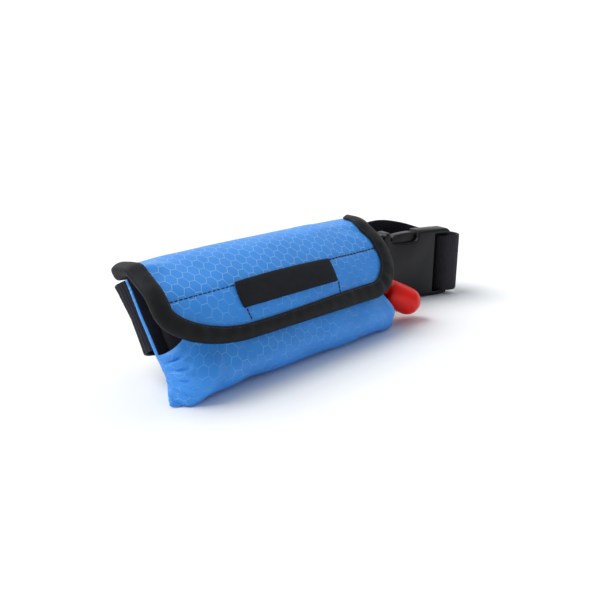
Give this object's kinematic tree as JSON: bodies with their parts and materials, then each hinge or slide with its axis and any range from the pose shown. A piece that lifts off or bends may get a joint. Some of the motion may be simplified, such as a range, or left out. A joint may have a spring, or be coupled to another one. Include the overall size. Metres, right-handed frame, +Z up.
{
  "type": "inflatable belt pack",
  "caption": "Cloth pouch with a bound flap that holds a folded inflatable float, with a red pull knob, on a webbing waist belt with a side-release buckle.",
  "frame": {"origin": "on the surface that the pack rests on, under the middle of its bounding box", "axes": "+X along the pouch towards the buckle, +Y away from the flap's front, +Z up"},
  "size_m": [0.249, 0.0726, 0.0615],
  "materials": {
    "blue_cloth": "coated ripstop cloth with a faint honeycomb grid",
    "black_tape": "fine woven tape",
    "black_cover": "plain dull cloth",
    "webbing": "ribbed webbing",
    "red_rubber": "smooth satin",
    "black_plastic": "moulded, slightly satin"
  },
  "bodies": {
    "root": {"back_panel": "blue_cloth", "front_pocket": "blue_cloth", "flap": "blue_cloth", "flap_binding": "black_tape", "label": "black_tape", "packed_float": "black_cover", "belt": "webbing", "belt_keeper": "webbing", "trigger_knob": "red_rubber", "buckle_socket": "black_plastic", "buckle_plug": "black_plastic"}
  },
  "joints": []
}
